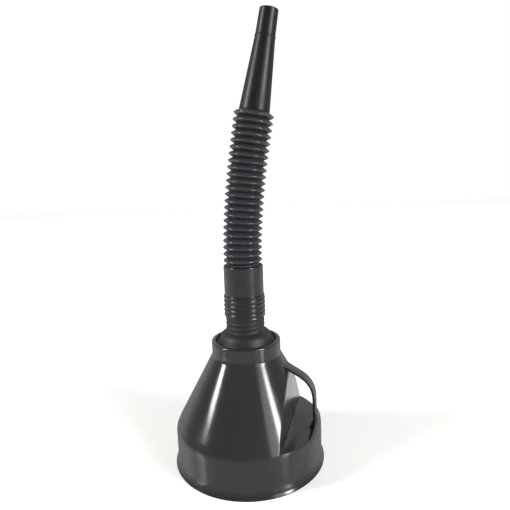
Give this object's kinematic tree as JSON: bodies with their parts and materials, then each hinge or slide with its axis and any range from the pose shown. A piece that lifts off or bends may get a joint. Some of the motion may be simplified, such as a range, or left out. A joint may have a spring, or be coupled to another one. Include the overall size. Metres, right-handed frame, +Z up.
{
  "type": "filling funnel with flexible spout",
  "caption": "Dark plastic filling funnel standing on its wide mouth, with a moulded strap handle, a screwed collar and a bendable ribbed spout ending in a tapered nozzle.",
  "frame": {"origin": "middle of the mouth's rim, on the surface that the funnel stands on", "axes": "+Z up along the bell's axis, +X to the side that the spout leans to, -Y to the front as pictured"},
  "size_m": [0.145, 0.145, 0.4112],
  "materials": {
    "grey_plastic": "glossy dark greenish-grey moulded plastic",
    "black_plastic": "smooth near-black moulded plastic",
    "strainer_plastic": "plain dark moulded plastic",
    "gauze": "fine woven brass wire",
    "hose_plastic": "satin near-black flexible plastic"
  },
  "bodies": {
    "funnel": {"funnel_body": "grey_plastic", "neck_fitting": "black_plastic"},
    "strainer": {"strainer_frame": "strainer_plastic", "strainer_gauze": "gauze"},
    "spout_base": {"spout_hose": "hose_plastic"},
    "collar": {"spout_collar": "grey_plastic"},
    "nozzle": {"spout_nozzle": "black_plastic"}
  },
  "joints": [
    {"name": "strainer_pull", "type": "slide", "parent": "funnel", "child": "strainer", "axis": [0, 0, -1], "range_m": [0, 0.095]},
    {"name": "spout_lift", "type": "slide", "parent": "funnel", "child": "spout_base", "axis": [0, 0, 1], "range_m": [0, 0.0191]},
    {"name": "collar_turn", "type": "hinge", "parent": "spout_base", "child": "collar", "pos_m": [0, 0, 0.1666], "axis": [0, 0, 1], "range_deg": [0, 1620]},
    {"name": "spout_bend", "type": "hinge", "parent": "spout_base", "child": "nozzle", "pos_m": [0.0036, 0, 0.26], "axis": [0, 1, 0], "range_deg": [-55, 45], "deforming": ["spout_hose"]}
  ],
  "couplings": [
    {"joint": "collar_turn", "follows": "spout_lift", "rad_per_m": 1478.4}
  ]
}
